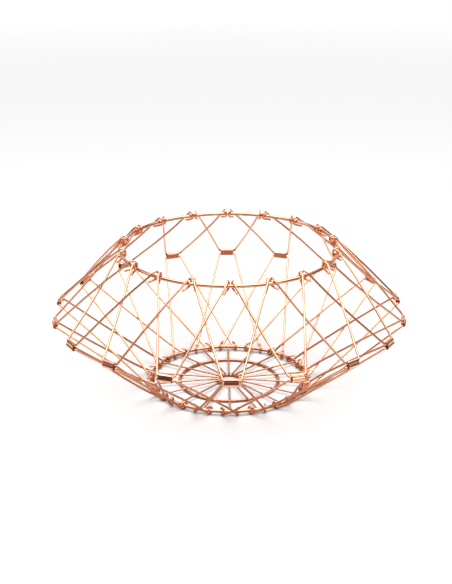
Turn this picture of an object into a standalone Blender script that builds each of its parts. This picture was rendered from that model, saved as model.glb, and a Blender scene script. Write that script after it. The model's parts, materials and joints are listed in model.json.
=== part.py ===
"""Folding wire fruit basket: two wire rings and two tiers of hinged wire frames.

Metres, +Z up. The origin lies on the surface that the basket stands on, under the middle
of the bottom ring, and sector 0 faces -Y.

Every frame is one bent wire: a short straight base held in a sleeve, and two legs whose
ends hook round a ring. A lower frame swings on the bottom ring and carries its sleeve, an
upper frame turns in that sleeve, and the upper frames' hooks carry the top ring. Straight
spokes on an inner ring and a hub ring, one soldered grid, close the bottom ring.
"""
import collections
import math

import bmesh
import bpy
from mathutils import Matrix, Vector

# Driving dimensions
SECTORS = 18
SECTOR_ANGLE = 2 * math.pi / SECTORS
TOP_RING_RADIUS = 0.0725
BOTTOM_RING_RADIUS = 0.0540
SLEEVE_CIRCLE_RADIUS = 0.1180
FLAT_RADIUS = 0.1335  # where the lower bases lie when both tiers are folded flat

RING_WIRE_RADIUS = 0.0012
RING_SEGMENTS = 54
FRAME_WIRE_RADIUS = 0.000725
WIRE_BEVEL_RESOLUTION = 2  # eight sides

BOTTOM_HOOK_RADIUS = 0.0026  # from the ring's centre line to the hook's
TOP_HOOK_RADIUS = 0.00275  # a looser fit, because the top ring floats in its hooks
TOP_HOOK_SPACING = 0.0042  # between the two hooks that share a ring node
BOTTOM_HOOK_ANGLE = math.radians(25.5)  # the lower hooks pass each other at the node
TOP_HOOK_SPLAY = math.radians(5)
BOTTOM_HOOK_SPLAY = math.radians(-5)  # turned back, to go squarely over the ring
HOOK_STEP = math.radians(45)
TAIL_LENGTH = 0.0045
TAIL_LIFT = 0.0004  # the tail bends this far away from the leg above it

BASE_HALF_WIDTH = 0.0064
BASE_BEND = 0.0011
LEG_OFFSET = 0.0010  # keeps the legs apart where neighbouring frames cross
OFFSET_START = 0.40  # the offset stretch, as fractions of the leg's length
UPPER_OFFSET_END = 0.72
LOWER_OFFSET_END = 0.88  # the lower legs cross once more, close to their hooks

SLEEVE_LENGTH = 0.0098
SLEEVE_WIRE_PITCH = 0.0024
SLEEVE_PLAY = 0.00025
SLEEVE_WALL = 0.00035
SLEEVE_SEAM = 0.00045
SLEEVE_ARC_SEGMENTS = 6

BASE_RING_RADIUS = 0.0340
HUB_RING_RADIUS = 0.0080
BASE_WIRE_RADIUS = 0.0009
BASE_RING_SEGMENTS = 36
HUB_RING_SEGMENTS = 18
SPOKE_WIRE_RADIUS = 0.0006
SPOKE_INNER_RADIUS = 0.0068  # the spokes end just inside the hub ring
SPOKE_OUTER_RADIUS = 0.0525
BASE_LOWERING = 0.0004  # of the spokes under the bottom ring's centre line
SPOKE_HEIGHT = 0.0011  # above the inner ring, into which the spokes are soldered

FOOT_WEAR = 0.00012  # the lower hooks are worn flat where they stand
WELD_DISTANCE = 0.000001
SMOOTH_ANGLE = math.radians(50)

COLLECTION_NAME = "folding_wire_basket"

# Worked out from the driving dimensions
TOP_HOOK_ANGLE = SECTOR_ANGLE - TOP_HOOK_SPACING / 2 / TOP_RING_RADIUS
TOP_HINGE_RADIUS = TOP_RING_RADIUS * math.cos(TOP_HOOK_ANGLE)
BOTTOM_HINGE_RADIUS = BOTTOM_RING_RADIUS * math.cos(BOTTOM_HOOK_ANGLE)
LOWER_LENGTH = FLAT_RADIUS - BOTTOM_HINGE_RADIUS
LOWER_SLOPE = math.acos((SLEEVE_CIRCLE_RADIUS - BOTTOM_HINGE_RADIUS) / LOWER_LENGTH)
FLAT_SLEEVE_LEAN = SLEEVE_WIRE_PITCH * math.sin(LOWER_SLOPE)  # the sleeves tip outwards
UPPER_LENGTH = FLAT_RADIUS + FLAT_SLEEVE_LEAN - TOP_HINGE_RADIUS
UPPER_SLOPE = math.acos((SLEEVE_CIRCLE_RADIUS - TOP_HINGE_RADIUS) / UPPER_LENGTH)

HOOK_UNDERSIDE = BOTTOM_HOOK_RADIUS * math.cos(HOOK_STEP / 2) + FRAME_WIRE_RADIUS
BOTTOM_RING_HEIGHT = HOOK_UNDERSIDE - FOOT_WEAR
LOWER_WIRE_HEIGHT = BOTTOM_RING_HEIGHT + LOWER_LENGTH * math.sin(LOWER_SLOPE)
UPPER_WIRE_HEIGHT = LOWER_WIRE_HEIGHT + SLEEVE_WIRE_PITCH
TOP_RING_HEIGHT = UPPER_WIRE_HEIGHT + UPPER_LENGTH * math.sin(UPPER_SLOPE)
BASE_WIRE_HEIGHT = BOTTOM_RING_HEIGHT - SPOKE_HEIGHT - BASE_LOWERING


# What makes one tier's frames: the ring crosses a leg at (half_width, length), the hooks
# and their splay, the direction in which a hook has a straight step's middle, measured
# from the slope axis to the normal, and the end of the legs' offset stretch.
Tier = collections.namedtuple(
    "Tier", "half_width length hook_radius hook_splay flat_angle offset_end"
)
UPPER_TIER = Tier(
    TOP_RING_RADIUS * math.sin(TOP_HOOK_ANGLE), UPPER_LENGTH, TOP_HOOK_RADIUS,
    TOP_HOOK_SPLAY, 0.0, UPPER_OFFSET_END,
)
LOWER_TIER = Tier(
    BOTTOM_RING_RADIUS * math.sin(BOTTOM_HOOK_ANGLE), LOWER_LENGTH, BOTTOM_HOOK_RADIUS,
    BOTTOM_HOOK_SPLAY, math.pi / 2 - LOWER_SLOPE, LOWER_OFFSET_END,
)


def clear_scene():
    for scene_object in list(bpy.data.objects):
        bpy.data.objects.remove(scene_object, do_unlink=True)


def make_collection(name):
    collection = bpy.data.collections.new(name)
    bpy.context.scene.collection.children.link(collection)
    return collection


def make_material(name, colour, roughness, metallic):
    material = bpy.data.materials.new(name)
    material.use_nodes = True
    material.diffuse_color = (*colour, 1.0)
    shader = material.node_tree.nodes["Principled BSDF"]
    shader.inputs["Base Color"].default_value = (*colour, 1.0)
    shader.inputs["Roughness"].default_value = roughness
    shader.inputs["Metallic"].default_value = metallic
    return material


def outward(azimuth):
    """The horizontal direction away from the basket's axis; azimuth 0 is the front."""
    return Vector((math.sin(azimuth), -math.cos(azimuth), 0.0))


def along_ring(azimuth):
    """The horizontal direction along the rings, to the right as seen from outside."""
    return Vector((math.cos(azimuth), math.sin(azimuth), 0.0))


def place_matrix(x_axis, y_axis, z_axis, location):
    rotation = Matrix((x_axis, y_axis, z_axis)).transposed()
    return Matrix.Translation(location) @ rotation.to_4x4()


def sleeve_matrix(azimuth):
    """Origin on the lower base wire, X along the wires, Y inwards, Z up."""
    location = outward(azimuth) * SLEEVE_CIRCLE_RADIUS
    location.z = LOWER_WIRE_HEIGHT
    return place_matrix(along_ring(azimuth), -outward(azimuth), Vector((0, 0, 1)), location)


def upper_frame_matrix(azimuth):
    """Origin on the base wire, Y up the slope to the top ring, Z out of the basket."""
    up = Vector((0, 0, 1))
    slope_axis = up * math.sin(UPPER_SLOPE) - outward(azimuth) * math.cos(UPPER_SLOPE)
    normal = up * math.cos(UPPER_SLOPE) + outward(azimuth) * math.sin(UPPER_SLOPE)
    location = outward(azimuth) * SLEEVE_CIRCLE_RADIUS + up * UPPER_WIRE_HEIGHT
    return place_matrix(along_ring(azimuth), slope_axis, normal, location)


def lower_frame_matrix(azimuth):
    """Origin on the ring hinge, Y down the slope to the bottom ring, Z out of the basket."""
    up = Vector((0, 0, 1))
    slope_axis = -up * math.sin(LOWER_SLOPE) - outward(azimuth) * math.cos(LOWER_SLOPE)
    normal = -up * math.cos(LOWER_SLOPE) + outward(azimuth) * math.sin(LOWER_SLOPE)
    location = outward(azimuth) * BOTTOM_HINGE_RADIUS + up * BOTTOM_RING_HEIGHT
    return place_matrix(-along_ring(azimuth), slope_axis, normal, location)


def hook_points(tier, side):
    """The bend round the ring and its tail, from the leg's end to the wire's tip."""
    along = Vector((side * math.sin(tier.hook_splay), math.cos(tier.hook_splay), 0.0))
    normal = Vector((0, 0, 1))
    centre = Vector((side * tier.half_width, tier.length, 0.0))
    angles = [math.pi / 2]
    angle = tier.flat_angle + HOOK_STEP / 2
    while angle > -math.pi / 2 + HOOK_STEP / 4:
        if angle < math.pi / 2 - HOOK_STEP / 4:
            angles.append(angle)
        angle -= HOOK_STEP
    angles.append(-math.pi / 2)
    points = []
    for bend_angle in angles:
        direction = along * math.cos(bend_angle) + normal * math.sin(bend_angle)
        points.append(centre + direction * tier.hook_radius)
    points.append(points[-1] - along * TAIL_LENGTH - normal * TAIL_LIFT)
    return points


def half_frame_points(tier, side):
    """One leg from its bend at the base to its tip; side is +1 or -1 along X.

    The leg on the +X side runs outside the frame's plane, and the other one inside it.
    """
    corner = Vector((side * BASE_HALF_WIDTH, 0.0, 0.0))
    hook = hook_points(tier, side)
    leg = hook[0] - corner
    points = [corner - Vector((side * BASE_BEND, 0.0, 0.0)), corner + leg.normalized() * BASE_BEND]
    for fraction in (OFFSET_START, tier.offset_end):
        points.append(corner + leg * fraction + Vector((0, 0, side * LEG_OFFSET)))
    return points + hook


def frame_points(tier):
    """A whole frame as one wire, tip to tip, with the middle of its base at the origin."""
    return half_frame_points(tier, -1)[::-1] + half_frame_points(tier, 1)


def ring_points(radius, segments):
    """A ring whose straight steps touch the circle, with a step's middle at every node."""
    corner_radius = radius / math.cos(math.pi / segments)
    points = []
    for index in range(segments):
        points.append(outward((index + 0.5) * 2 * math.pi / segments) * corner_radius)
    return points


def wire_curve(name, points, radius, closed, material):
    curve = bpy.data.curves.new(name, "CURVE")
    curve.dimensions = "3D"
    curve.bevel_depth = radius
    curve.bevel_resolution = WIRE_BEVEL_RESOLUTION
    curve.use_fill_caps = not closed
    spline = curve.splines.new("POLY")
    spline.points.add(len(points) - 1)
    for spline_point, point in zip(spline.points, points):
        spline_point.co = (*point, 1.0)
    spline.use_cyclic_u = closed
    spline.use_smooth = True
    curve.materials.append(material)
    return curve


def mesh_from_curve(curve, name):
    """The curve's tube as one closed mesh."""
    guide = bpy.data.objects.new(name + "_guide", curve)
    bpy.context.scene.collection.objects.link(guide)
    depsgraph = bpy.context.evaluated_depsgraph_get()
    mesh = bpy.data.meshes.new_from_object(guide.evaluated_get(depsgraph))
    bpy.data.objects.remove(guide, do_unlink=True)
    tube = bmesh.new()
    tube.from_mesh(mesh)
    bmesh.ops.remove_doubles(tube, verts=tube.verts, dist=WELD_DISTANCE)
    tube.to_mesh(mesh)
    tube.free()
    mesh.name = name
    return mesh


def wear_flat(mesh, plane_point, plane_normal):
    """Cuts off what lies beyond the plane and closes the cuts with flat faces."""
    body = bmesh.new()
    body.from_mesh(mesh)
    everything = body.verts[:] + body.edges[:] + body.faces[:]
    cut = bmesh.ops.bisect_plane(
        body, geom=everything, dist=WELD_DISTANCE, plane_co=plane_point,
        plane_no=plane_normal, clear_outer=True,
    )
    rim = [item for item in cut["geom_cut"] if isinstance(item, bmesh.types.BMEdge)]
    bmesh.ops.holes_fill(body, edges=rim)
    bmesh.ops.recalc_face_normals(body, faces=body.faces)
    body.to_mesh(mesh)
    body.free()


def smooth(mesh):
    mesh.shade_smooth()
    mesh.set_sharp_from_angle(angle=SMOOTH_ANGLE)


def lower_frame_mesh(material):
    """A lower frame, with flats worn on its hooks where they meet the table."""
    hinge = Vector((0.0, LOWER_LENGTH, 0.0))
    points = [point - hinge for point in frame_points(LOWER_TIER)]
    curve = wire_curve("lower_frame_wire", points, FRAME_WIRE_RADIUS, False, material)
    mesh = mesh_from_curve(curve, "lower_frame")
    down = Vector((0.0, math.sin(LOWER_SLOPE), math.cos(LOWER_SLOPE)))
    wear_flat(mesh, down * BOTTOM_RING_HEIGHT, down)
    smooth(mesh)
    return mesh


def upper_frame_curve(material):
    points = frame_points(UPPER_TIER)
    return wire_curve("upper_frame", points, FRAME_WIRE_RADIUS, False, material)


def sleeve_outline():
    """The middle of the rolled sheet in the YZ plane, from one seam edge to the other.

    The sheet goes up the outer face, over the upper wire, down the inner face and round
    the lower wire, back to the seam at the bottom of the outer face.
    """
    radius = FRAME_WIRE_RADIUS + SLEEVE_PLAY + SLEEVE_WALL / 2
    outline = [(-radius, SLEEVE_SEAM)]
    for index in range(SLEEVE_ARC_SEGMENTS + 1):
        angle = math.pi - math.pi * index / SLEEVE_ARC_SEGMENTS
        height = SLEEVE_WIRE_PITCH + radius * math.sin(angle)
        outline.append((radius * math.cos(angle), height))
    for index in range(SLEEVE_ARC_SEGMENTS + 1):
        angle = -math.pi * index / SLEEVE_ARC_SEGMENTS
        outline.append((radius * math.cos(angle), radius * math.sin(angle)))
    return outline


def sleeve_mesh(material):
    """A rolled sheet sleeve whose lower wire runs through its origin."""
    mesh = bpy.data.meshes.new("sleeve")
    sheet = bmesh.new()
    rim = [sheet.verts.new((-SLEEVE_LENGTH / 2, y, z)) for y, z in sleeve_outline()]
    edges = [sheet.edges.new(pair) for pair in zip(rim, rim[1:])]
    extruded = bmesh.ops.extrude_edge_only(sheet, edges=edges)["geom"]
    far_rim = [item for item in extruded if isinstance(item, bmesh.types.BMVert)]
    bmesh.ops.translate(sheet, verts=far_rim, vec=(SLEEVE_LENGTH, 0.0, 0.0))
    bmesh.ops.recalc_face_normals(sheet, faces=sheet.faces)
    sheet.to_mesh(mesh)
    sheet.free()
    mesh.materials.append(material)
    smooth(mesh)
    return mesh


def add_object(name, data, matrix, parent, parent_matrix, collection):
    """An object at a world matrix, carried by its parent."""
    new_object = bpy.data.objects.new(name, data)
    collection.objects.link(new_object)
    if parent is not None:
        new_object.parent = parent
        new_object.matrix_parent_inverse = parent_matrix.inverted()
    new_object.matrix_basis = matrix
    return new_object


def add_sleeve(name, mesh, matrix, parent, parent_matrix, collection):
    sleeve = add_object(name, mesh, matrix, parent, parent_matrix, collection)
    wall = sleeve.modifiers.new("wall", "SOLIDIFY")
    wall.thickness = SLEEVE_WALL
    wall.offset = 0.0
    wall.use_even_offset = True
    return sleeve


def united(meshes, name):
    """One closed mesh round all of these, which overlap."""
    guides = []
    for mesh in meshes:
        guide = bpy.data.objects.new(name + "_guide", mesh)
        bpy.context.scene.collection.objects.link(guide)
        guides.append(guide)
    for tool in guides[1:]:
        union = guides[0].modifiers.new("union", "BOOLEAN")
        union.operation = "UNION"
        union.solver = "EXACT"
        union.object = tool
    depsgraph = bpy.context.evaluated_depsgraph_get()
    whole = bpy.data.meshes.new_from_object(guides[0].evaluated_get(depsgraph))
    for guide in guides:
        bpy.data.objects.remove(guide, do_unlink=True)
    whole.name = name
    return whole


def base_grid_mesh(material):
    """The spokes with the inner ring and the hub ring under them, soldered together.

    Its origin lies in the plane of the two rings' centre lines.
    """
    meshes = []
    circles = ((BASE_RING_RADIUS, BASE_RING_SEGMENTS), (HUB_RING_RADIUS, HUB_RING_SEGMENTS))
    for radius, segments in circles:
        points = ring_points(radius, segments)
        curve = wire_curve("base_circle", points, BASE_WIRE_RADIUS, True, material)
        meshes.append(mesh_from_curve(curve, "base_circle"))
    for index in range(SECTORS):
        direction = outward(index * SECTOR_ANGLE)
        height = Vector((0.0, 0.0, SPOKE_HEIGHT))
        ends = (direction * SPOKE_INNER_RADIUS + height, direction * SPOKE_OUTER_RADIUS + height)
        curve = wire_curve("base_spoke", ends, SPOKE_WIRE_RADIUS, False, material)
        meshes.append(mesh_from_curve(curve, "base_spoke"))
    grid = united(meshes[:1] + meshes[2:] + meshes[1:2], "base_grid")
    smooth(grid)
    return grid


def build():
    clear_scene()
    collection = make_collection(COLLECTION_NAME)
    ring_metal = make_material("ring_wire", (0.72, 0.40, 0.28), 0.18, 1.0)
    frame_metal = make_material("frame_wire", (0.76, 0.43, 0.30), 0.16, 1.0)
    sleeve_metal = make_material("sleeve_sheet", (0.70, 0.41, 0.31), 0.22, 1.0)

    base_metal = make_material("base_wire", (0.60, 0.32, 0.22), 0.24, 1.0)

    bottom_points = ring_points(BOTTOM_RING_RADIUS, RING_SEGMENTS)
    bottom_data = wire_curve("bottom_ring", bottom_points, RING_WIRE_RADIUS, True, ring_metal)
    top_points = ring_points(TOP_RING_RADIUS, RING_SEGMENTS)
    top_data = wire_curve("top_ring", top_points, RING_WIRE_RADIUS, True, ring_metal)
    lower_data = lower_frame_mesh(frame_metal)
    upper_data = upper_frame_curve(frame_metal)
    sleeve_data = sleeve_mesh(sleeve_metal)

    bottom_matrix = Matrix.Translation((0.0, 0.0, BOTTOM_RING_HEIGHT))
    bottom_ring = add_object(
        "bottom_ring", bottom_data, bottom_matrix, None, None, collection
    )
    add_object(
        "base_grid", base_grid_mesh(base_metal),
        Matrix.Translation((0.0, 0.0, BASE_WIRE_HEIGHT)), bottom_ring, bottom_matrix,
        collection,
    )
    upper_frames = []
    for index in range(SECTORS):
        azimuth = index * SECTOR_ANGLE
        lower_matrix = lower_frame_matrix(azimuth)
        lower_frame = add_object(
            f"lower_frame_{index:02d}", lower_data, lower_matrix, bottom_ring,
            bottom_matrix, collection,
        )
        middle_matrix = sleeve_matrix(azimuth)
        sleeve = add_sleeve(
            f"sleeve_{index:02d}", sleeve_data, middle_matrix, lower_frame,
            lower_matrix, collection,
        )
        upper_frame = add_object(
            f"upper_frame_{index:02d}", upper_data, upper_frame_matrix(azimuth), sleeve,
            middle_matrix, collection,
        )
        upper_frames.append(upper_frame)

    hinge_place = outward(0.0) * TOP_HINGE_RADIUS + Vector((0, 0, TOP_RING_HEIGHT))
    hinge_matrix = Matrix.Translation(hinge_place)
    top_hinge = add_object(
        "top_ring_hinge", None, hinge_matrix, upper_frames[0], upper_frame_matrix(0.0),
        collection,
    )
    add_object(
        "top_ring", top_data, Matrix.Translation((0.0, 0.0, TOP_RING_HEIGHT)), top_hinge,
        hinge_matrix, collection,
    )


build()
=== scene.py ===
import json
import math
import random

import bpy
import numpy as np
from mathutils import Matrix, Quaternion, Vector


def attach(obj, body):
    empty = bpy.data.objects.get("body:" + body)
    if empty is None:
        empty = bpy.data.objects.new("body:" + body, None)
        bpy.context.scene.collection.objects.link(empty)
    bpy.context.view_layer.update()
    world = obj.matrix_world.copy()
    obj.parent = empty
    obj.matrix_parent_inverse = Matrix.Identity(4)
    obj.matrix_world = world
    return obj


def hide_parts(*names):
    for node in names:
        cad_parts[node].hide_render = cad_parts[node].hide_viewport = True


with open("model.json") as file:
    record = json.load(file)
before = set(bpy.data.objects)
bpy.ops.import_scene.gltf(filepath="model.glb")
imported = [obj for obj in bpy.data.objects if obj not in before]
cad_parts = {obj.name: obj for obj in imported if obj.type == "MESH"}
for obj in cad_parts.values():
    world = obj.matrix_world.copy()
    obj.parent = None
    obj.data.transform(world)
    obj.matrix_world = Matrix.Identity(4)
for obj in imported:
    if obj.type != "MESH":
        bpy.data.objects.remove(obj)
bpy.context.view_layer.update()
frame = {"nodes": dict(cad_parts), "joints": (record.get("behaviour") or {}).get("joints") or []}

JOINTS = {joint["name"]: joint for joint in frame["joints"]}

# ---------------------------------------------------------------- dimensions, in metres
# Z is up, the basket's axis is at x = y = 0, and azimuth 0 is the front, at -Y.

SECTORS = sum(1 for node in frame["nodes"] if node.startswith("sleeve_"))
SECTOR_ANGLE = 2 * math.pi / SECTORS

TOP_RING_RADIUS = 0.0725
BOTTOM_RING_RADIUS = 0.0540
RING_WIRE_RADIUS = 0.0012
WELD_AZIMUTH = math.radians(170)
WELD_LENGTH = 0.0011
WELD_SWELLING = 0.10

FRAME_WIRE_RADIUS = 0.000725
BASE_HALF_WIDTH = 0.0057
BASE_BEND_RADIUS = 0.0017
BASE_BEND_SPREAD = (0.9, 1.15)
LEG_OFFSET = 0.0010
LEG_OFFSET_SPREAD = (1.0, 1.06)
LEG_OFFSET_START = 0.40
LEG_BEND_RADIUS = 0.16
TOP_HOOK_SPACING = 0.0038
TOP_HOOK_ANGLE = SECTOR_ANGLE - TOP_HOOK_SPACING / 2 / TOP_RING_RADIUS
BOTTOM_HOOK_ANGLE = math.radians(25.5)
HOOK_LEAD_IN = 0.0004
HOOK_LEAD_OUT = 0.0005
HOOK_BEND_RADIUS = 0.012
TAIL_BEND_RADIUS = 0.004
CHAMFER_LENGTH = 0.00012
CHAMFER_SHARE = 0.80
FRAME_SLIDE = 0.0002

SLEEVE_WIRE_PITCH = 0.0024
SLEEVE_LENGTH = 0.0091
SLEEVE_WALL = 0.00035
SLEEVE_PLAY = 0.00036
SLEEVE_EDGE = 0.00009
SLEEVE_RIM_CM = 0.04
SLEEVE_RIM_STATIONS = (0.0, 0.35, 1.0)
SLEEVE_RIM_SHARE = 0.62
SLEEVE_FLARE = 0.024
SLEEVE_FLARE_START = 0.8
SLEEVE_EDGE_SHARE = 0.6
SLEEVE_SLIDE = 0.0005
SLEEVE_LEAN = (-11.0, -8.0)
STEEP_LEAN = -14.0
STEEP_SLEEVES = (1, 14)
HEM_HEIGHT = 0.00062
HEM_BEND_SHARE = 0.55
HEM_LIFTS = (1.02, 1.05)
HEM_EASE = 1.5
HEM_GAP = 0.00004
LIP_DROP = 0.0002
WAIST = 0.00010
DISH = (0.00001, 0.00003)
DISH_STRETCH = 1.05

BASE_RING_RADIUS = 0.0340
HUB_RING_RADIUS = 0.0080
BASE_WIRE_RADIUS = 0.0010
SPOKE_WIRE_RADIUS = 0.0006
SPOKE_DROP = 0.0004
SPOKE_SINK = 0.0002
SPOKE_OVERHANG = 0.0012
SPOKE_SHORTFALL = 0.0008
SPOKE_SWING = 0.00025
SOLDER_LENGTH = 0.0009
END_SOLDER_LENGTH = 0.0011
SOLDER_SWELLING = 0.45

BOTTOM_HINGE = Vector(JOINTS["fold"]["pos_m"])
SLEEVE_HINGE = Vector(JOINTS["upper_hinge_00"]["pos_m"])
TOP_HINGE = Vector(JOINTS["top_ring_hinge"]["pos_m"])
BOTTOM_HINGE_RADIUS = math.hypot(BOTTOM_HINGE.x, BOTTOM_HINGE.y)
SLEEVE_CIRCLE_RADIUS = math.hypot(SLEEVE_HINGE.x, SLEEVE_HINGE.y)
TOP_HINGE_RADIUS = math.hypot(TOP_HINGE.x, TOP_HINGE.y)
BOTTOM_RING_HEIGHT = BOTTOM_HINGE.z
UPPER_WIRE_HEIGHT = SLEEVE_HINGE.z
LOWER_WIRE_HEIGHT = UPPER_WIRE_HEIGHT - SLEEVE_WIRE_PITCH
TOP_RING_HEIGHT = TOP_HINGE.z
LOWER_LENGTH = math.hypot(
    SLEEVE_CIRCLE_RADIUS - BOTTOM_HINGE_RADIUS, LOWER_WIRE_HEIGHT - BOTTOM_RING_HEIGHT
)
UPPER_LENGTH = math.hypot(
    SLEEVE_CIRCLE_RADIUS - TOP_HINGE_RADIUS, TOP_RING_HEIGHT - UPPER_WIRE_HEIGHT
)

# The shape of one tier's frames. The ring crosses a leg at (half_width, length), and
# offset_end is where on the leg its bow ends. Leans are in degrees. A pair of numbers is
# the two limits between which each frame differs.
UPPER_TIER = {
    "half_width": TOP_RING_RADIUS * math.sin(TOP_HOOK_ANGLE), "length": UPPER_LENGTH,
    "hook_radius": 0.00235, "hook_reach": 0.0009, "hook_lean": (-6.0, -2.0),
    "offset_end": 0.72, "tail_lean": (7.0, 17.0), "tail": (0.0044, 0.0058),
    "pinch": (0.0019, 0.0026),
}
LOWER_TIER = {
    "half_width": BOTTOM_RING_RADIUS * math.sin(BOTTOM_HOOK_ANGLE), "length": LOWER_LENGTH,
    "hook_radius": 0.00227, "hook_reach": 0.0, "hook_lean": (-6.0, 0.0),
    "offset_end": 0.88, "tail_lean": (4.0, 12.0), "tail": (0.0030, 0.0040),
    "pinch": (0.0018, 0.0025),
}

# How worn the copper is there, from 0 to 1, and how far along the wire or sheet it reaches.
HOOK_WEAR_PLACE = 0.006
HOOK_WEAR_LENGTH = 0.0045
HELD_WEAR, HELD_WEAR_LENGTH = 0.55, 0.0065
NODE_WEAR, NODE_WEAR_LENGTH = 0.7, 0.0042
BASE_RING_WEAR, SPOKE_WEAR, CROSSING_WEAR = 0.25, 0.2, 0.8
RIM_WEAR, RIM_WEAR_LENGTH, HEM_WEAR_LENGTH = 0.5, 0.0006, 0.0004
INSIDE_WEAR = 0.8

# How finely curves are divided. A corner's arc takes up to CORNER_SHARE of the runs beside it.
CORNER_SHARE = 0.48
ARC_STEP = math.radians(9)
STRAIGHT_STEP = 0.0035
HOOK_STEPS = 16
WIRE_SIDES = 16
RING_SIDES = 24
RING_STEPS = 360
BASE_RING_STEPS = 180
HUB_RING_STEPS = 90
SPOKE_SIDES = 12
SPOKE_STEPS = 48
SLEEVE_TURN_STEPS = 18
SLEEVE_INNER_STEPS = 8
SLEEVE_OUTER_STEPS = 10
SLEEVE_STATIONS = 12
WIRE_CREASE = math.radians(40)
SHEET_CREASE = math.radians(50)


# ---------------------------------------------------------------- places


def outward(azimuth):
    return Vector((math.sin(azimuth), -math.cos(azimuth), 0.0))


def along_ring(azimuth):
    return Vector((math.cos(azimuth), math.sin(azimuth), 0.0))


def at(azimuth, radius, height):
    return outward(azimuth) * radius + Vector((0, 0, height))


def place_matrix(x_axis, y_axis, z_axis, location):
    rotation = Matrix((x_axis, y_axis, z_axis)).transposed()
    return Matrix.Translation(location) @ rotation.to_4x4()


def slope_matrix(x_axis, start, end):
    """Origin at the start, Y along the slope to the end, Z out of the basket."""
    y_axis = (end - start).normalized()
    return place_matrix(x_axis, y_axis, x_axis.cross(y_axis), start)


def upper_matrix(azimuth):
    """Origin on the upper base wire, Y up the slope to the top ring."""
    start = at(azimuth, SLEEVE_CIRCLE_RADIUS, UPPER_WIRE_HEIGHT)
    end = at(azimuth, TOP_HINGE_RADIUS, TOP_RING_HEIGHT)
    return slope_matrix(along_ring(azimuth), start, end)


def lower_matrix(azimuth):
    """Origin on the lower base wire, Y down the slope to the bottom ring."""
    start = at(azimuth, SLEEVE_CIRCLE_RADIUS, LOWER_WIRE_HEIGHT)
    end = at(azimuth, BOTTOM_HINGE_RADIUS, BOTTOM_RING_HEIGHT)
    return slope_matrix(-along_ring(azimuth), start, end)


def sleeve_matrix(azimuth):
    """Origin half way between the two base wires, X along them, Y inwards, Z up."""
    place = at(azimuth, SLEEVE_CIRCLE_RADIUS, (LOWER_WIRE_HEIGHT + UPPER_WIRE_HEIGHT) / 2)
    return place_matrix(along_ring(azimuth), -outward(azimuth), Vector((0, 0, 1)), place)


# ---------------------------------------------------------------- wire paths


def rounded(points, radii):
    """The polyline with each inner corner turned into an arc of its radius."""
    path = [points[0].copy()]
    for index in range(1, len(points) - 1):
        corner, radius = points[index], radii[index]
        to_last = points[index - 1] - corner
        to_next = points[index + 1] - corner
        reach = CORNER_SHARE * min(to_last.length, to_next.length)
        to_last, to_next = to_last.normalized(), to_next.normalized()
        opening = to_last.angle(to_next)
        turn = math.pi - opening
        if turn < 1e-4 or radius <= 0:
            path.append(corner.copy())
            continue
        tangent = min(radius / math.tan(opening / 2), reach)
        radius = tangent * math.tan(opening / 2)
        middle = (to_last + to_next).normalized()
        centre = corner + middle * (radius / math.sin(opening / 2))
        start = corner + to_last * tangent - centre
        axis = to_next.cross(to_last).normalized()
        steps = max(3, math.ceil(turn / ARC_STEP))
        for step in range(steps + 1):
            path.append(centre + Quaternion(axis, turn * step / steps) @ start)
    path.append(points[-1].copy())
    return path


def dense(path, step):
    """The path with points added on its long straight runs."""
    out = [path[0]]
    for last, point in zip(path, path[1:]):
        count = max(1, math.ceil((point - last).length / step))
        for index in range(1, count + 1):
            out.append(last.lerp(point, index / count))
    return out


def half_frame(tier, side, rng):
    """Corner points and bend radii of one leg, from beside the sleeve to the wire's tip."""
    corner = Vector((side * BASE_HALF_WIDTH, 0.0, 0.0))
    ring = Vector((side * tier["half_width"], tier["length"], 0.0))
    normal = Vector((0.0, 0.0, 1.0))
    hook_radius, hook_reach = tier["hook_radius"], tier["hook_reach"]
    hook_lean = math.radians(rng.uniform(*tier["hook_lean"]))
    tail_lean = math.radians(rng.uniform(*tier["tail_lean"]))
    along = Vector((side * math.sin(hook_lean), math.cos(hook_lean), 0.0))
    tail = Vector((side * math.sin(tail_lean), math.cos(tail_lean), 0.0))
    start = ring + normal * hook_radius
    leg = start - corner
    bow = Vector((0.0, 0.0, side * LEG_OFFSET * rng.uniform(*LEG_OFFSET_SPREAD)))
    points = [corner]
    radii = [BASE_BEND_RADIUS * rng.uniform(*BASE_BEND_SPREAD)]
    for fraction in (LEG_OFFSET_START, tier["offset_end"]):
        points.append(corner + leg * fraction + bow)
        radii.append(LEG_BEND_RADIUS)
    points.append(start - along * HOOK_LEAD_IN)
    radii.append(HOOK_BEND_RADIUS)
    turn_centre = ring + along * hook_reach
    for step in range(HOOK_STEPS + 1):
        angle = math.pi / 2 - math.pi * step / HOOK_STEPS
        direction = along * math.cos(angle) + normal * math.sin(angle)
        points.append(turn_centre + direction * hook_radius)
        radii.append(0.0)
    bent = points[-1] - along * (hook_reach + HOOK_LEAD_OUT)
    points.append(bent)
    radii.append(TAIL_BEND_RADIUS)
    pinch = normal * rng.uniform(*tier["pinch"])
    points.append(bent - tail * rng.uniform(*tier["tail"]) + pinch)
    radii.append(0.0)
    return points, radii


def frame_path(tier, rng):
    """A whole frame's centre line, tip to tip, with the middle of its base at the origin."""
    left, left_radii = half_frame(tier, -1, rng)
    right, right_radii = half_frame(tier, 1, rng)
    points = left[::-1] + right
    return dense(rounded(points, left_radii[::-1] + right_radii), STRAIGHT_STEP)


def circle(radius, height, steps):
    return [at(2 * math.pi * step / steps, radius, height) for step in range(steps)]


# ---------------------------------------------------------------- meshes


def bell(distance, width):
    """1 at no distance, falling off smoothly to almost 0 at twice the width."""
    return math.exp(-(distance / width) ** 2)


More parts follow.
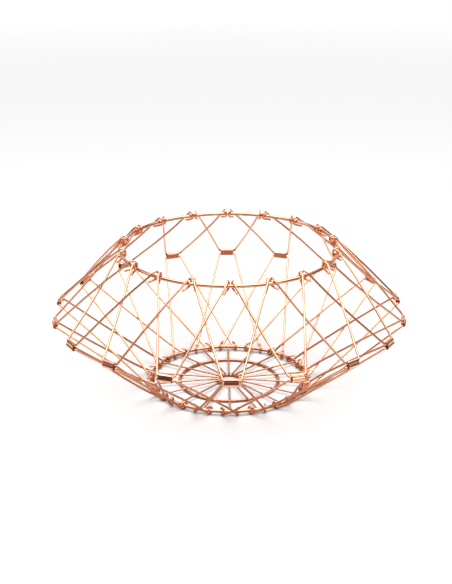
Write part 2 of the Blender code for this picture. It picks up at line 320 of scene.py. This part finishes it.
def sweep(path, radii, sides, closed):
    """Vertices, faces and face UVs of a tube round the path. u runs round it, v along it in cm."""
    count = len(path)
    tangents = []
    for index in range(count):
        if closed:
            last, following = path[index - 1], path[(index + 1) % count]
        else:
            last, following = path[max(index - 1, 0)], path[min(index + 1, count - 1)]
        tangents.append((following - last).normalized())
    side = Vector((0.0, 0.0, 1.0)) if closed else tangents[0].orthogonal().normalized()
    verts, lengths, travelled = [], [], 0.0
    for index in range(count):
        if index and not closed:
            side = tangents[index - 1].rotation_difference(tangents[index]) @ side
        side = (side - tangents[index] * side.dot(tangents[index])).normalized()
        other = tangents[index].cross(side)
        if index:
            travelled += (path[index] - path[index - 1]).length
        lengths.append(travelled * 100)
        for step in range(sides):
            angle = 2 * math.pi * step / sides
            direction = side * math.cos(angle) + other * math.sin(angle)
            verts.append(path[index] + direction * radii[index])
    lengths.append((travelled + (path[0] - path[-1]).length) * 100)
    faces, uvs = [], []
    for index in range(count if closed else count - 1):
        following = (index + 1) % count
        for step in range(sides):
            beyond = (step + 1) % sides
            faces.append((index * sides + step, index * sides + beyond,
                          following * sides + beyond, following * sides + step))
            u, u_beyond = step / sides, (step + 1) / sides
            v, v_beyond = lengths[index], lengths[index + 1]
            uvs.append(((u, v), (u_beyond, v), (u_beyond, v_beyond), (u, v_beyond)))
    if not closed:
        faces.append(tuple(range(sides))[::-1])
        uvs.append(tuple((step / sides, 0.0) for step in range(sides))[::-1])
        first = (count - 1) * sides
        faces.append(tuple(range(first, first + sides)))
        uvs.append(tuple((step / sides, lengths[count - 1]) for step in range(sides)))
    return verts, faces, uvs


def join_tubes(tubes):
    """Several closed tubes' vertices, faces and face UVs as one set."""
    verts, faces, uvs = [], [], []
    for tube_verts, tube_faces, tube_uvs in tubes:
        first = len(verts)
        verts.extend(tube_verts)
        faces.extend(tuple(corner + first for corner in face) for face in tube_faces)
        uvs.extend(tube_uvs)
    return verts, faces, uvs


def make_mesh(name, surface, wear, matrix=Matrix.Identity(4), crease=WIRE_CREASE):
    """A mesh of (verts, faces, uvs), with how worn each vertex is as an attribute."""
    verts, faces, uvs = surface
    mesh = bpy.data.meshes.new(name)
    mesh.from_pydata([matrix @ vert for vert in verts], [], faces)
    layer = mesh.uv_layers.new(name="UVMap")
    layer.data.foreach_set("uv", [value for face in uvs for pair in face for value in pair])
    mesh.validate()
    mesh.shade_smooth()
    mesh.set_sharp_from_angle(angle=crease)
    attribute = mesh.attributes.new("wear", "FLOAT", "POINT")
    attribute.data.foreach_set("value", wear)
    return mesh


def chamfered(path):
    """The path and its radii, with a small chamfer added at both tips."""
    radii = [FRAME_WIRE_RADIUS] * len(path)
    ends = []
    for tip, inner in ((path[0], path[1]), (path[-1], path[-2])):
        shoulder = tip - (tip - inner).normalized() * CHAMFER_LENGTH
        ends.append((tip, shoulder))
    small = FRAME_WIRE_RADIUS * CHAMFER_SHARE
    path = [*ends[0], *path[1:-1], *ends[1][::-1]]
    return path, [small, *radii, small]


def frame_mesh(name, path, matrix):
    """A frame's wire, worn where it hooks round the ring and where the sleeve holds it."""
    path, radii = chamfered(path)
    total = sum((point - last).length for last, point in zip(path, path[1:]))
    travelled, wear = 0.0, []
    for index, point in enumerate(path):
        if index:
            travelled += (point - path[index - 1]).length
        from_tip = min(travelled, total - travelled)
        hooked = bell(from_tip - HOOK_WEAR_PLACE, HOOK_WEAR_LENGTH)
        held = math.exp(-(abs(travelled - total / 2) / HELD_WEAR_LENGTH) ** 4)
        wear.extend([max(hooked, HELD_WEAR * held)] * WIRE_SIDES)
    return make_mesh(name, sweep(path, radii, WIRE_SIDES, False), wear, matrix)


def ring_mesh(name, radius, height, weld_azimuth):
    """A plain ring with its weld bead, worn at the bead and under each pair of hooks."""
    radii, wear = [], []
    for step in range(RING_STEPS):
        azimuth = 2 * math.pi * step / RING_STEPS
        from_weld = (azimuth - weld_azimuth + math.pi) % (2 * math.pi) - math.pi
        from_node = ((azimuth / SECTOR_ANGLE + 0.5) % 1 - 0.5) * SECTOR_ANGLE
        bead = bell(from_weld * radius, WELD_LENGTH)
        radii.append(RING_WIRE_RADIUS * (1 + WELD_SWELLING * bead))
        rubbed = NODE_WEAR * bell(from_node * radius, NODE_WEAR_LENGTH)
        wear.extend([max(rubbed, bell(from_weld * radius, 2 * WELD_LENGTH))] * RING_SIDES)
    path = circle(radius, height, RING_STEPS)
    return make_mesh(name, sweep(path, radii, RING_SIDES, True), wear)


def base_grid_mesh(name, rng):
    """The two inner rings and the spokes on top of them, sunk into their solder."""
    spoke_height = BOTTOM_RING_HEIGHT - SPOKE_DROP
    ring_height = spoke_height - SPOKE_WIRE_RADIUS - BASE_WIRE_RADIUS + SPOKE_SINK
    tubes, wear = [], []
    for radius, steps in (
        (BASE_RING_RADIUS, BASE_RING_STEPS), (HUB_RING_RADIUS, HUB_RING_STEPS),
    ):
        path = circle(radius, ring_height, steps)
        tubes.append(sweep(path, [BASE_WIRE_RADIUS] * steps, WIRE_SIDES, True))
        wear.extend([BASE_RING_WEAR] * (steps * WIRE_SIDES))
    inner, outer = HUB_RING_RADIUS - SPOKE_OVERHANG, BOTTOM_RING_RADIUS - SPOKE_SHORTFALL
    for index in range(SECTORS):
        azimuth = index * SECTOR_ANGLE
        swing = along_ring(azimuth) * rng.uniform(-SPOKE_SWING, SPOKE_SWING)
        path, radii = [], []
        for step in range(SPOKE_STEPS + 1):
            share = step / SPOKE_STEPS
            reach = inner + (outer - inner) * share
            path.append(at(azimuth, reach, spoke_height) + swing * math.sin(math.pi * share))
            solder = max(
                bell(reach - outer, END_SOLDER_LENGTH),
                CROSSING_WEAR * bell(reach - BASE_RING_RADIUS, SOLDER_LENGTH),
                CROSSING_WEAR * bell(reach - HUB_RING_RADIUS, SOLDER_LENGTH),
            )
            radii.append(SPOKE_WIRE_RADIUS * (1 + SOLDER_SWELLING * solder))
            wear.extend([max(SPOKE_WEAR, solder)] * SPOKE_SIDES)
        tubes.append(sweep(path, radii, SPOKE_SIDES, False))
    return make_mesh(name, join_tubes(tubes), wear)


def sleeve_outline(rng):
    """The middle of the rolled sheet, (y, z) round the two wires, y inwards.

    It starts at the hem of the lower roll, over the outer face, goes round the lower wire,
    up the inner face, over the upper wire and down the outer face to the other edge.
    """
    inner = FRAME_WIRE_RADIUS + SLEEVE_PLAY + SLEEVE_WALL / 2
    half_pitch = SLEEVE_WIRE_PITCH / 2
    overlap = SLEEVE_WALL + HEM_GAP
    outline = [
        (-inner - overlap * HEM_LIFTS[0], -half_pitch + HEM_HEIGHT),
        (-inner - overlap * HEM_LIFTS[1], -half_pitch + HEM_HEIGHT * HEM_BEND_SHARE),
    ]
    for step in range(SLEEVE_TURN_STEPS + 1):
        share = step / SLEEVE_TURN_STEPS
        angle = math.pi + math.pi * share
        reach = inner + overlap * (1 - share) ** HEM_EASE
        outline.append((reach * math.cos(angle), -half_pitch + reach * math.sin(angle)))
    for step in range(1, SLEEVE_INNER_STEPS):
        share = step / SLEEVE_INNER_STEPS
        y = inner - WAIST * math.sin(math.pi * share)
        outline.append((y, -half_pitch + SLEEVE_WIRE_PITCH * share))
    for step in range(SLEEVE_TURN_STEPS + 1):
        angle = math.pi * step / SLEEVE_TURN_STEPS
        outline.append((inner * math.cos(angle), half_pitch + inner * math.sin(angle)))
    dish = rng.uniform(*DISH)
    for step in range(1, SLEEVE_OUTER_STEPS + 1):
        share = step / SLEEVE_OUTER_STEPS
        y = -inner + dish * math.sin(math.pi * min(1.0, share * DISH_STRETCH))
        outline.append((y, half_pitch - (SLEEVE_WIRE_PITCH + LIP_DROP) * share))
    return outline


def sleeve_stations():
    """(x, half the wall) along the sleeve, thinner at both ends where the edges are broken."""
    half, wall = SLEEVE_LENGTH / 2, SLEEVE_WALL / 2
    rim = []
    for share in SLEEVE_RIM_STATIONS:
        rounding = math.sin(share * math.pi / 2)
        thinned = wall * (SLEEVE_RIM_SHARE + (1 - SLEEVE_RIM_SHARE) * rounding)
        rim.append((half - SLEEVE_EDGE * share, thinned))
    body = []
    for index in range(1, SLEEVE_STATIONS):
        share = index / SLEEVE_STATIONS
        body.append((-half + SLEEVE_EDGE + (SLEEVE_LENGTH - 2 * SLEEVE_EDGE) * share, wall))
    return [(-x, thinned) for x, thinned in rim] + body + rim[::-1]


def sleeve_mesh(name, matrix, rng):
    """One closed loop per station: along the sheet's outer side and back along its inner."""
    outline = np.array(sleeve_outline(rng))
    count = len(outline)
    loop = 2 * count
    tangent = np.gradient(outline, axis=0)
    tangent /= np.linalg.norm(tangent, axis=1)[:, None]
    across = np.stack([tangent[:, 1], -tangent[:, 0]], 1)
    pieces = np.linalg.norm(np.diff(outline, axis=0), axis=1)
    run = [*np.concatenate([[0], np.cumsum(pieces)])]
    run_cm = [length * 100 for length in run + run[::-1]]
    stations = sleeve_stations()
    verts, faces, uvs, wear = [], [], [], []
    for x, wall in stations:
        thickness = np.full(count, wall)
        thickness[[0, -1]] *= SLEEVE_EDGE_SHARE
        offset = across * thickness[:, None]
        past = max(0.0, abs(x) / (SLEEVE_LENGTH / 2) - SLEEVE_FLARE_START)
        flare = 1 + SLEEVE_FLARE * past / (1 - SLEEVE_FLARE_START)
        for y, z in [*(outline + offset), *(outline - offset)[::-1]]:
            verts.append(Vector((x, y * flare, z)))
        rim = RIM_WEAR * bell(SLEEVE_LENGTH / 2 - abs(x), RIM_WEAR_LENGTH)
        for step, length in enumerate(run + run[::-1]):
            inside = 0.0 if step < count else INSIDE_WEAR
            wear.append(max(rim, inside, RIM_WEAR * bell(length, HEM_WEAR_LENGTH)))
    for station in range(len(stations) - 1):
        here, there = station * loop, (station + 1) * loop
        x, x_beyond = stations[station][0] * 100, stations[station + 1][0] * 100
        for step in range(loop):
            beyond = (step + 1) % loop
            faces.append((here + step, here + beyond, there + beyond, there + step))
            v, v_beyond = run_cm[step], run_cm[beyond]
            uvs.append(((x, v), (x, v_beyond), (x_beyond, v_beyond), (x_beyond, v)))
    last = (len(stations) - 1) * loop
    for step in range(count - 1):
        mate, mate_beyond = loop - 1 - step, loop - 2 - step
        faces.append((step + 1, step, mate, mate_beyond))
        faces.append((last + step, last + step + 1, last + mate_beyond, last + mate))
        v, v_beyond, u = run_cm[step], run_cm[step + 1], SLEEVE_RIM_CM
        uvs.extend([((0, v), (0, v_beyond), (u, v_beyond), (u, v))] * 2)
    return make_mesh(name, (verts, faces, uvs), wear, matrix, SHEET_CREASE)


# ---------------------------------------------------------------- materials

WORN_ROUGHNESS = 0.07
STREAK_ROUGHNESS = (-0.02, 0.03)
STREAK_STRENGTH = 0.35

class NodeTree:
    """Shorthands for wiring up the nodes of a material or of the world."""

    def __init__(self, tree):
        self.tree = tree

    def add(self, kind, **settings):
        node = self.tree.nodes.new(kind)
        for key, value in settings.items():
            setattr(node, key, value)
        return node

    def link(self, source, target):
        self.tree.links.new(source, target)

    def noise(self, vector, scale, detail, roughness=0.5):
        node = self.add("ShaderNodeTexNoise")
        node.inputs["Scale"].default_value = scale
        node.inputs["Detail"].default_value = detail
        node.inputs["Roughness"].default_value = roughness
        self.link(vector, node.inputs["Vector"])
        return node.outputs["Fac"]

    def spread(self, value, source=(0.0, 1.0), target=(0.0, 1.0)):
        """The value with its source range stretched over the target range, and clamped."""
        node = self.add("ShaderNodeMapRange")
        node.inputs["From Min"].default_value, node.inputs["From Max"].default_value = source
        node.inputs["To Min"].default_value, node.inputs["To Max"].default_value = target
        self.link(value, node.inputs["Value"])
        return node.outputs["Result"]

    def scaled(self, vector, scale):
        node = self.add("ShaderNodeMapping")
        node.inputs["Scale"].default_value = scale
        self.link(vector, node.inputs["Vector"])
        return node.outputs["Vector"]

    def blend(self, factor, first, second):
        """A mix of two colours, each of them (r, g, b) or another node's output."""
        node = self.add("ShaderNodeMix", data_type="RGBA")
        self.link(factor, node.inputs[0])
        for socket, colour in ((node.inputs[6], first), (node.inputs[7], second)):
            if isinstance(colour, tuple):
                socket.default_value = (*colour, 1.0)
            else:
                self.link(colour, socket)
        return node.outputs[2]

    def choose(self, factor, first, second):
        """A mix of two numbers, both of them other nodes' outputs."""
        node = self.add("ShaderNodeMix", data_type="FLOAT")
        for source, socket in zip((factor, first, second), (0, 2, 3)):
            self.link(source, node.inputs[socket])
        return node.outputs[0]

    def combine(self, operation, first, second):
        """The sum or product of an output with another output or a number."""
        node = self.add("ShaderNodeMath", operation=operation)
        self.link(first, node.inputs[0])
        if isinstance(second, float):
            node.inputs[1].default_value = second
        else:
            self.link(second, node.inputs[1])
        return node.outputs[0]


def new_material(name):
    """A material, its node tree and its surface shader's inputs."""
    material = bpy.data.materials.new(name)
    material.use_nodes = True
    tree = material.node_tree
    return material, NodeTree(tree), tree.nodes["Principled BSDF"].inputs


def copper(name, light, deep, worn, roughness, streaks, relief=0.000015):
    """Polished copper plate. Light and deep are its two tones, worn is where pieces rub.

    Roughness is its range from patch to patch. The drawing lines have the scale of streaks
    round and along the wire, and relief is their depth.
    """
    material, nodes, surface = new_material(name)
    uv = nodes.add("ShaderNodeUVMap", uv_map="UVMap").outputs["UV"]
    place = nodes.add("ShaderNodeTexCoord").outputs["Object"]
    wear = nodes.add("ShaderNodeAttribute", attribute_name="wear").outputs["Fac"]
    cloud = nodes.noise(place, scale=38.0, detail=3.0)
    tone = nodes.blend(nodes.spread(cloud, (0.36, 0.66)), light, deep)
    grime = nodes.noise(place, scale=900.0, detail=4.0, roughness=0.65)
    stain = nodes.combine("MULTIPLY", nodes.spread(grime, (0.40, 0.75)), wear)
    nodes.link(nodes.blend(stain, tone, worn), surface["Base Color"])
    lines = nodes.noise(nodes.scaled(uv, streaks), scale=1.0, detail=3.0, roughness=0.6)
    patches = nodes.spread(nodes.noise(place, scale=260.0, detail=3.0), (0.3, 0.7), roughness)
    dulled = nodes.combine("ADD", patches, nodes.combine("MULTIPLY", wear, WORN_ROUGHNESS))
    drawn = nodes.spread(lines, (0.3, 0.7), STREAK_ROUGHNESS)
    nodes.link(nodes.combine("ADD", dulled, drawn), surface["Roughness"])
    bump = nodes.add("ShaderNodeBump")
    bump.inputs["Strength"].default_value = STREAK_STRENGTH
    bump.inputs["Distance"].default_value = relief
    nodes.link(lines, bump.inputs["Height"])
    nodes.link(bump.outputs["Normal"], surface["Normal"])
    surface["Metallic"].default_value = 1.0
    return material


RING_COPPER = copper(
    "ring_wire_copper", light=(0.92, 0.52, 0.37), deep=(0.87, 0.44, 0.29),
    worn=(0.60, 0.24, 0.13), roughness=(0.06, 0.12), streaks=(34.0, 1.2, 1.0),
)
FRAME_COPPER = copper(
    "frame_wire_copper", light=(0.93, 0.51, 0.33), deep=(0.87, 0.42, 0.25),
    worn=(0.58, 0.23, 0.12), roughness=(0.05, 0.11), streaks=(28.0, 1.6, 1.0),
)
SLEEVE_COPPER = copper(
    "sleeve_sheet_copper", light=(0.91, 0.52, 0.37), deep=(0.85, 0.44, 0.30),
    worn=(0.55, 0.23, 0.14), roughness=(0.07, 0.12), streaks=(9.0, 60.0, 1.0),
)
# Painted shade: the base grid's copper is a darker copy of the others, standing in for the shade
# on the basket's bottom.
SHADED_BASE_COPPER = copper(
    "base_wire_copper_painted_shade", light=(0.80, 0.42, 0.27), deep=(0.70, 0.33, 0.20),
    worn=(0.46, 0.18, 0.10), roughness=(0.18, 0.28), streaks=(28.0, 1.6, 1.0), relief=0.00002,
)

# ---------------------------------------------------------------- the basket

FRAME_SEED = 100
BASE_SEED = 7


def add_piece(name, mesh, material, body, node):
    piece = bpy.data.objects.new(name, mesh)
    bpy.context.scene.collection.objects.link(piece)
    mesh.materials.append(material)
    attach(piece, body)
    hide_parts(node)


def slid(limit, rng):
    """A small shift along the base wires, up to the limit either way."""
    return Matrix.Translation((rng.uniform(-limit, limit), 0.0, 0.0))


def add_frame(name, tier, matrix, rng):
    path = frame_path(tier, rng)
    mesh = frame_mesh(name + "_wire", path, matrix @ slid(FRAME_SLIDE, rng))
    add_piece(name + "_wire", mesh, FRAME_COPPER, name, name)


def add_sleeve(name, body, azimuth, steep, rng):
    """A sleeve on its lower frame. It leans back, the steep ones more than the others."""
    lean = rng.uniform(*SLEEVE_LEAN)
    tilt = Matrix.Rotation(math.radians(STEEP_LEAN if steep else lean), 4, "X")
    matrix = sleeve_matrix(azimuth) @ slid(SLEEVE_SLIDE, rng) @ tilt
    mesh = sleeve_mesh(name + "_roll", matrix, rng)
    add_piece(name + "_roll", mesh, SLEEVE_COPPER, body, name)


def add_basket():
    for index in range(SECTORS):
        azimuth = index * SECTOR_ANGLE
        rng = random.Random(FRAME_SEED + index)
        lower = f"lower_frame_{index:02d}"
        add_frame(f"upper_frame_{index:02d}", UPPER_TIER, upper_matrix(azimuth), rng)
        add_frame(lower, LOWER_TIER, lower_matrix(azimuth), rng)
        add_sleeve(f"sleeve_{index:02d}", lower, azimuth, index in STEEP_SLEEVES, rng)
    for ring, radius, height, weld in (
        ("top_ring", TOP_RING_RADIUS, TOP_RING_HEIGHT, WELD_AZIMUTH),
        ("bottom_ring", BOTTOM_RING_RADIUS, BOTTOM_RING_HEIGHT, -WELD_AZIMUTH),
    ):
        mesh = ring_mesh(ring + "_wire", radius, height, weld)
        add_piece(ring + "_wire", mesh, RING_COPPER, ring, ring)
    mesh = base_grid_mesh("base_grid_wires", random.Random(BASE_SEED))
    # The base grid gets the darker copper with the painted shade.
    add_piece("base_grid_wires", mesh, SHADED_BASE_COPPER, "bottom_ring", "base_grid")


# ---------------------------------------------------------------- stage, light and camera

FLOOR_RADIUS = 1.6
FLOOR_RINGS = 12
FLOOR_SIDES = 72
FLOOR_COLOURS = (0.745, 0.755, 0.765), (0.765, 0.775, 0.785)

# Distances from the basket's axis between which the floor fades into the surroundings, as
# looked at and as mirrored in the wires, and between which its mirrored colour goes from a
# painted shadow under the basket to pale paper; the painted shadow's colour comes first.
FLOOR_FADE = (0.30, 1.30)
MIRRORED_FADE = (0.16, 0.45)
MIRRORED_SHADOW_FADE = (0.07, 0.15)
MIRRORED_SHADOW_AND_PAPER_COLOURS = (0.32, 0.24, 0.19), (0.82, 0.80, 0.78)

# The mirrored room, by height from 0 straight down to 1 straight up, and what is behind it.
ROOM_COLOURS = (
    (0.36, (0.30, 0.27, 0.25)),
    (0.43, (0.09, 0.065, 0.05)),
    (0.56, (0.10, 0.075, 0.06)),
    (0.65, (0.24, 0.21, 0.19)),
    (1.00, (0.32, 0.30, 0.29)),
)
REAR_COLOUR = (0.78, 0.75, 0.73)
REAR_START = (0.45, 0.85)

# Each soft box's name, place, target, size and radiance.
LIGHTS = (
    ("overhead_box", (0.05, -0.15, 1.35), (0.05, -0.15, 0.0), (2.15, 1.85), 3.0),
    ("left_box", (-1.5, 0.1, 0.75), (0.0, 0.0, 0.05), (0.5, 0.9), 1.4),
    ("right_box", (1.0, -1.1, 0.22), (0.0, 0.0, 0.06), (0.45, 0.35), 2.2),
)

CAMERA_TARGET = Vector((-0.00209, 0.0, 0.0664))
CAMERA_DISTANCE = 1.0065
CAMERA_AZIMUTH = math.radians(-0.70)
CAMERA_ELEVATION = math.radians(21.2)
CAMERA_SENSOR = 36.0
CAMERA_LENS = 91.6
CAMERA_CLIP = (0.01, 20.0)


def add_floor():
    """A round white table top whose rim melts into the white surroundings."""
    verts, faces = [(0.0, 0.0, 0.0)], []
    for ring in range(1, FLOOR_RINGS + 1):
        reach = FLOOR_RADIUS * ring / FLOOR_RINGS
        for step in range(FLOOR_SIDES):
            angle = 2 * math.pi * step / FLOOR_SIDES
            verts.append((reach * math.cos(angle), reach * math.sin(angle), 0.0))
    for step in range(FLOOR_SIDES):
        beyond = (step + 1) % FLOOR_SIDES
        faces.append((0, 1 + step, 1 + beyond))
        for ring in range(FLOOR_RINGS - 1):
            near, far = 1 + ring * FLOOR_SIDES, 1 + (ring + 1) * FLOOR_SIDES
            faces.append((near + step, far + step, far + beyond, near + beyond))
    mesh = bpy.data.meshes.new("studio_floor")
    mesh.from_pydata(verts, [], faces)
    mesh.materials.append(floor_material())
    floor = bpy.data.objects.new("studio_floor", mesh)
    bpy.context.scene.collection.objects.link(floor)


def floor_material():
    """White paper. Mirrored, it carries a painted shadow near the base and ends sooner."""
    material, nodes, surface = new_material("studio_paper")
    place = nodes.add("ShaderNodeTexCoord").outputs["Object"]
    length = nodes.add("ShaderNodeVectorMath", operation="LENGTH")
    nodes.link(place, length.inputs[0])
    distance = length.outputs["Value"]
    mirrored = nodes.add("ShaderNodeLightPath").outputs["Is Glossy Ray"]
    pale = nodes.blend(nodes.noise(place, scale=600.0, detail=2.0), *FLOOR_COLOURS)
    # Painted shadow: mirrored in the wires, the floor is dark near the base and fades out to pale
    # paper.
    shaded = nodes.blend(nodes.spread(distance, MIRRORED_SHADOW_FADE), *MIRRORED_SHADOW_AND_PAPER_COLOURS)
    nodes.link(nodes.blend(mirrored, pale, shaded), surface["Base Color"])
    seen = nodes.spread(distance, FLOOR_FADE, (1.0, 0.0))
    seen_mirrored = nodes.spread(distance, MIRRORED_FADE, (1.0, 0.0))
    nodes.link(nodes.choose(mirrored, seen, seen_mirrored), surface["Alpha"])
    surface["Roughness"].default_value = 0.75
    surface["Specular IOR Level"].default_value = 0.2
    return material


def add_world():
    """White where it is looked at. Mirrored, it is a pale room, dark low down in front."""
    world = bpy.data.worlds.new("studio")
    bpy.context.scene.world = world
    world.use_nodes = True
    nodes = NodeTree(world.node_tree)
    split = nodes.add("ShaderNodeSeparateXYZ")
    nodes.link(nodes.add("ShaderNodeTexCoord").outputs["Generated"], split.inputs[0])
    ramp = nodes.add("ShaderNodeValToRGB")
    nodes.link(nodes.spread(split.outputs["Z"], (-1.0, 1.0)), ramp.inputs["Fac"])
    stops = ramp.color_ramp.elements
    while len(stops) < len(ROOM_COLOURS):
        stops.new(1.0)
    for stop, (position, colour) in zip(stops, ROOM_COLOURS):
        stop.position, stop.color = position, (*colour, 1.0)
    behind = nodes.spread(split.outputs["Y"], REAR_START)
    room = world.node_tree.nodes["Background"]
    nodes.link(nodes.blend(behind, ramp.outputs["Color"], REAR_COLOUR), room.inputs["Color"])
    white = nodes.add("ShaderNodeBackground")
    white.inputs["Color"].default_value = (1.0, 1.0, 1.0, 1.0)
    mix = nodes.add("ShaderNodeMixShader")
    nodes.link(nodes.add("ShaderNodeLightPath").outputs["Is Camera Ray"], mix.inputs[0])
    nodes.link(room.outputs[0], mix.inputs[1])
    nodes.link(white.outputs[0], mix.inputs[2])
    nodes.link(mix.outputs[0], world.node_tree.nodes["World Output"].inputs["Surface"])


def add_area(name, place, target, size, radiance):
    """A soft box. Radiance is how bright its face looks."""
    light = bpy.data.lights.new(name, "AREA")
    light.shape = "RECTANGLE"
    light.size, light.size_y = size
    light.energy = radiance * math.pi * size[0] * size[1]
    holder = bpy.data.objects.new(name, light)
    bpy.context.scene.collection.objects.link(holder)
    holder.location = place
    aim = Vector(target) - Vector(place)
    holder.rotation_euler = aim.to_track_quat("-Z", "Y").to_euler()


def add_camera():
    lens = bpy.data.cameras.new("camera")
    lens.sensor_width = CAMERA_SENSOR
    lens.lens = CAMERA_LENS
    lens.clip_start, lens.clip_end = CAMERA_CLIP
    camera = bpy.data.objects.new("camera", lens)
    bpy.context.scene.collection.objects.link(camera)
    backwards = Vector((
        math.sin(CAMERA_AZIMUTH) * math.cos(CAMERA_ELEVATION),
        -math.cos(CAMERA_AZIMUTH) * math.cos(CAMERA_ELEVATION),
        math.sin(CAMERA_ELEVATION),
    ))
    camera.location = CAMERA_TARGET + backwards * CAMERA_DISTANCE
    camera.rotation_euler = (-backwards).to_track_quat("-Z", "Y").to_euler()
    bpy.context.scene.camera = camera


add_basket()
add_floor()
add_world()
for light in LIGHTS:
    add_area(*light)
add_camera()
bpy.context.scene.view_settings.view_transform = "Standard"

bpy.context.view_layer.update()
